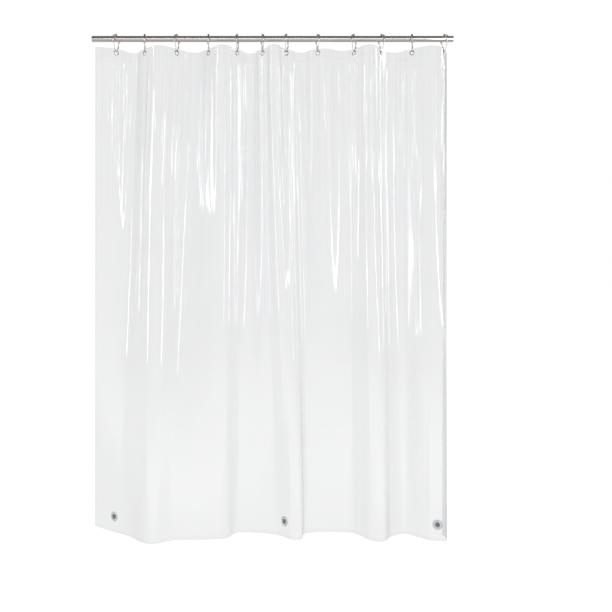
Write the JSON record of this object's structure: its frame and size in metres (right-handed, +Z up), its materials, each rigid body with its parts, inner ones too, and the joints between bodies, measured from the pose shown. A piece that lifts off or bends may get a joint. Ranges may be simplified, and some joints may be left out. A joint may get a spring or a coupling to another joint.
{
  "type": "shower curtain",
  "caption": "Clear shower liner with metal grommets and hem magnets, hung by roller rings on a straight steel rod; the rings slide along the rod and the liner draws open and swings.",
  "frame": {"origin": "on the rod's axis at the middle of its length", "axes": "+X along the rod, to the right seen from the room; -Y to the room; +Z up"},
  "size_m": [1.3744, 0.2239, 1.8853],
  "materials": {
    "rod_steel": "brushed along its length",
    "wire_steel": "polished stainless wire",
    "roller_steel": "polished rollers",
    "grommet_plate": "plated, rolled edge",
    "clear_film": "clear glossy film with a faint haze",
    "clear_patch": "clear glossy film, welded rim",
    "magnet_coat": "dark satin disc"
  },
  "bodies": {
    "rod": {"rod": "rod_steel"},
    "curtain": {"curtain_sheet": "clear_film", "hook_01": "wire_steel", "grommet_01": "grommet_plate"},
    "ring_02": {"hook_02": "wire_steel", "grommet_02": "grommet_plate"},
    "ring_03": {"hook_03": "wire_steel", "grommet_03": "grommet_plate"},
    "ring_04": {"hook_04": "wire_steel", "grommet_04": "grommet_plate"},
    "ring_05": {"hook_05": "wire_steel", "grommet_05": "grommet_plate"},
    "ring_06": {"hook_06": "wire_steel", "grommet_06": "grommet_plate"},
    "ring_07": {"hook_07": "wire_steel", "grommet_07": "grommet_plate"},
    "ring_08": {"hook_08": "wire_steel", "grommet_08": "grommet_plate"},
    "ring_09": {"hook_09": "wire_steel", "grommet_09": "grommet_plate"},
    "ring_10": {"hook_10": "wire_steel", "grommet_10": "grommet_plate"},
    "ring_11": {"hook_11": "wire_steel", "grommet_11": "grommet_plate"},
    "ring_12": {"hook_12": "wire_steel", "grommet_12": "grommet_plate"},
    "hem_magnet_left": {"magnet_left": "magnet_coat", "magnet_pocket_left": "clear_patch"},
    "hem_magnet_middle": {"magnet_middle": "magnet_coat", "magnet_pocket_middle": "clear_patch"},
    "hem_magnet_right": {"magnet_right": "magnet_coat", "magnet_pocket_right": "clear_patch"},
    "roller_01": {"roller_01": "roller_steel"},
    "roller_02": {"roller_02": "roller_steel"},
    "roller_03": {"roller_03": "roller_steel"},
    "roller_04": {"roller_04": "roller_steel"},
    "roller_05": {"roller_05": "roller_steel"},
    "roller_06": {"roller_06": "roller_steel"},
    "roller_07": {"roller_07": "roller_steel"},
    "roller_08": {"roller_08": "roller_steel"},
    "roller_09": {"roller_09": "roller_steel"},
    "roller_10": {"roller_10": "roller_steel"},
    "roller_11": {"roller_11": "roller_steel"},
    "roller_12": {"roller_12": "roller_steel"}
  },
  "joints": [
    {"name": "curtain_swing", "type": "hinge", "parent": "rod", "child": "curtain", "pos_m": [0, 0, 0], "axis": [1, 0, 0], "range_deg": [-20, 20]},
    {"name": "curtain_draw", "type": "slide", "parent": "curtain", "child": "ring_12", "axis": [1, 0, 0], "range_m": [-0.8619, 0], "deforming": ["curtain_sheet"]},
    {"name": "ring_slide_02", "type": "slide", "parent": "curtain", "child": "ring_02", "axis": [1, 0, 0], "range_m": [-0.0752, 0]},
    {"name": "ring_slide_03", "type": "slide", "parent": "curtain", "child": "ring_03", "axis": [1, 0, 0], "range_m": [-0.16, 0]},
    {"name": "ring_slide_04", "type": "slide", "parent": "curtain", "child": "ring_04", "axis": [1, 0, 0], "range_m": [-0.2428, 0]},
    {"name": "ring_slide_05", "type": "slide", "parent": "curtain", "child": "ring_05", "axis": [1, 0, 0], "range_m": [-0.3186, 0]},
    {"name": "ring_slide_06", "type": "slide", "parent": "curtain", "child": "ring_06", "axis": [1, 0, 0], "range_m": [-0.3848, 0]},
    {"name": "ring_slide_07", "type": "slide", "parent": "curtain", "child": "ring_07", "axis": [1, 0, 0], "range_m": [-0.4479, 0]},
    {"name": "ring_slide_08", "type": "slide", "parent": "curtain", "child": "ring_08", "axis": [1, 0, 0], "range_m": [-0.5297, 0]},
    {"name": "ring_slide_09", "type": "slide", "parent": "curtain", "child": "ring_09", "axis": [1, 0, 0], "range_m": [-0.6248, 0]},
    {"name": "ring_slide_10", "type": "slide", "parent": "curtain", "child": "ring_10", "axis": [1, 0, 0], "range_m": [-0.6971, 0]},
    {"name": "ring_slide_11", "type": "slide", "parent": "curtain", "child": "ring_11", "axis": [1, 0, 0], "range_m": [-0.7773, 0]},
    {"name": "hem_slide_left", "type": "slide", "parent": "curtain", "child": "hem_magnet_left", "axis": [1, 0, 0], "range_m": [0, 0.0151]},
    {"name": "hem_slide_middle", "type": "slide", "parent": "curtain", "child": "hem_magnet_middle", "axis": [1, 0, 0], "range_m": [-0.4422, 0]},
    {"name": "hem_slide_right", "type": "slide", "parent": "curtain", "child": "hem_magnet_right", "axis": [1, 0, 0], "range_m": [-0.8376, 0]},
    {"name": "roller_spin_01", "type": "hinge", "parent": "curtain", "child": "roller_01", "pos_m": [-0.5871, 0, 0.0154], "axis": [-0.3746, -0.9272, 0], "continuous": true},
    {"name": "roller_spin_02", "type": "hinge", "parent": "ring_02", "child": "roller_02", "pos_m": [-0.48036, 0, 0.0154], "axis": [0.225, -0.9744, 0], "continuous": true},
    {"name": "roller_spin_03", "type": "hinge", "parent": "ring_03", "child": "roller_03", "pos_m": [-0.35926, 0, 0.0154], "axis": [-0.2588, -0.9659, 0], "continuous": true},
    {"name": "roller_spin_04", "type": "hinge", "parent": "ring_04", "child": "roller_04", "pos_m": [-0.24101, 0, 0.0154], "axis": [0.1736, -0.9848, 0], "continuous": true},
    {"name": "roller_spin_05", "type": "hinge", "parent": "ring_05", "child": "roller_05", "pos_m": [-0.13267, 0, 0.0154], "axis": [-0.0698, -0.9976, 0], "continuous": true},
    {"name": "roller_spin_06", "type": "hinge", "parent": "ring_06", "child": "roller_06", "pos_m": [-0.03814, 0, 0.0154], "axis": [0.2756, -0.9613, 0], "continuous": true},
    {"name": "roller_spin_07", "type": "hinge", "parent": "ring_07", "child": "roller_07", "pos_m": [0.05204, 0, 0.0154], "axis": [-0.2756, -0.9613, 0], "continuous": true},
    {"name": "roller_spin_08", "type": "hinge", "parent": "ring_08", "child": "roller_08", "pos_m": [0.16886, 0, 0.0154], "axis": [0.309, -0.9511, 0], "continuous": true},
    {"name": "roller_spin_09", "type": "hinge", "parent": "ring_09", "child": "roller_09", "pos_m": [0.30469, 0, 0.0154], "axis": [-0.4695, -0.8829, 0], "continuous": true},
    {"name": "roller_spin_10", "type": "hinge", "parent": "ring_10", "child": "roller_10", "pos_m": [0.40806, 0, 0.0154], "axis": [0.4695, -0.8829, 0], "continuous": true},
    {"name": "roller_spin_11", "type": "hinge", "parent": "ring_11", "child": "roller_11", "pos_m": [0.52252, 0, 0.0154], "axis": [-0.1564, -0.9877, 0], "continuous": true},
    {"name": "roller_spin_12", "type": "hinge", "parent": "ring_12", "child": "roller_12", "pos_m": [0.64413, 0, 0.0154], "axis": [0.4695, -0.8829, 0], "continuous": true}
  ],
  "couplings": [
    {"joint": "ring_slide_02", "follows": "curtain_draw", "ratio": 0.0867},
    {"joint": "ring_slide_03", "follows": "curtain_draw", "ratio": 0.18505},
    {"joint": "ring_slide_04", "follows": "curtain_draw", "ratio": 0.2811},
    {"joint": "ring_slide_05", "follows": "curtain_draw", "ratio": 0.36908},
    {"joint": "ring_slide_06", "follows": "curtain_draw", "ratio": 0.44587},
    {"joint": "ring_slide_07", "follows": "curtain_draw", "ratio": 0.51911},
    {"joint": "ring_slide_08", "follows": "curtain_draw", "ratio": 0.61399},
    {"joint": "ring_slide_09", "follows": "curtain_draw", "ratio": 0.72431},
    {"joint": "ring_slide_10", "follows": "curtain_draw", "ratio": 0.80827},
    {"joint": "ring_slide_11", "follows": "curtain_draw", "ratio": 0.90124},
    {"joint": "hem_slide_left", "follows": "curtain_draw", "ratio": -0.01697},
    {"joint": "hem_slide_middle", "follows": "curtain_draw", "ratio": 0.5125},
    {"joint": "hem_slide_right", "follows": "curtain_draw", "ratio": 0.97128}
  ]
}
